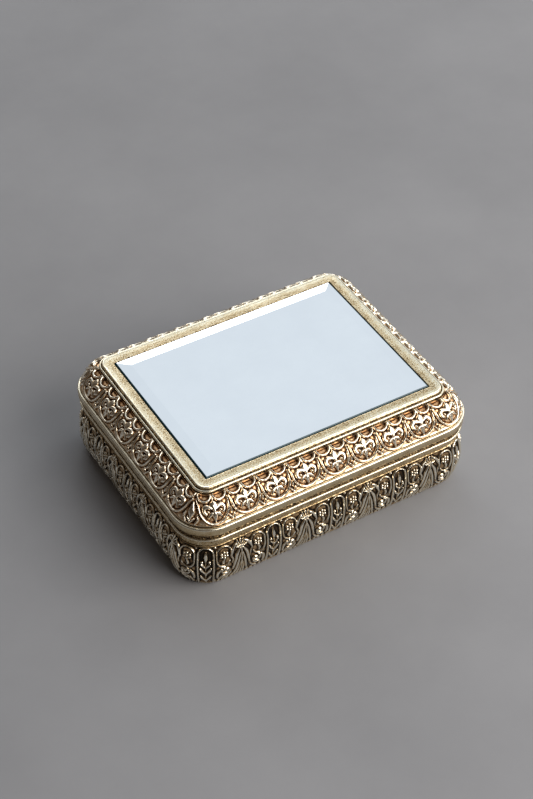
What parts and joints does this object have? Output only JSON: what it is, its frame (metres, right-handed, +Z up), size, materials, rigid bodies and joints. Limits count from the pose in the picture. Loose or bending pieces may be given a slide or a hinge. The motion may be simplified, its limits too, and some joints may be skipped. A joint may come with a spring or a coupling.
{
  "type": "vanity trinket box",
  "caption": "Low rectangular gilt trinket box with rounded corners, relief bands, a bevelled mirror in its hinged lid and a velvet lining.",
  "frame": {"origin": "the middle of the underside, on the surface the box stands on, straight below the middle of the mirror", "axes": "+X along the box's length to its right, -Y its front, +Y its hinge side, +Z up"},
  "size_m": [0.1102, 0.0908, 0.0385],
  "materials": {
    "gilt_brass": "antiqued gilt casting, dark copper-brown in the recesses and pale gold on the raised edges",
    "base_brass": "plain rolled brass sheet, dulled",
    "fastener_steel": "plain small steel screws and pins",
    "mirror_silver": "clear plate glass silvered behind, with a wide ground bevel",
    "grey_card": "stiff grey-brown card",
    "wine_velvet": "short-pile wine red velvet over thin wadding",
    "green_felt": "thin pressed dark green felt"
  },
  "bodies": {
    "box": {"body_shell": "gilt_brass", "base_plate": "base_brass", "base_screw_front_left": "fastener_steel", "base_screw_front_right": "fastener_steel", "base_screw_back_left": "fastener_steel", "base_screw_back_right": "fastener_steel", "base_felt": "green_felt", "floor_card": "grey_card", "floor_pad": "wine_velvet", "wall_lining": "wine_velvet", "hinge_body_leaf_left": "gilt_brass", "hinge_body_leaf_right": "gilt_brass", "hinge_pin_left": "fastener_steel", "hinge_pin_right": "fastener_steel", "body_rivet_left_1": "base_brass", "body_rivet_left_2": "base_brass", "body_rivet_right_1": "base_brass", "body_rivet_right_2": "base_brass"},
    "lid": {"lid_frame": "gilt_brass", "mirror_glass": "mirror_silver", "mirror_backing": "grey_card", "mirror_clip_front": "base_brass", "mirror_clip_back": "base_brass", "mirror_clip_left": "base_brass", "mirror_clip_right": "base_brass", "clip_screw_front": "fastener_steel", "clip_screw_back": "fastener_steel", "clip_screw_left": "fastener_steel", "clip_screw_right": "fastener_steel", "lid_card": "grey_card", "lid_pad": "wine_velvet", "hinge_lid_leaf_left": "gilt_brass", "hinge_lid_leaf_right": "gilt_brass", "lid_rivet_left_1": "base_brass", "lid_rivet_left_2": "base_brass", "lid_rivet_right_1": "base_brass", "lid_rivet_right_2": "base_brass"}
  },
  "joints": [
    {"name": "lid_hinge", "type": "hinge", "parent": "box", "child": "lid", "pos_m": [0, 0.0446, 0.02445], "axis": [-1, 0, 0], "range_deg": [0, 105]}
  ]
}
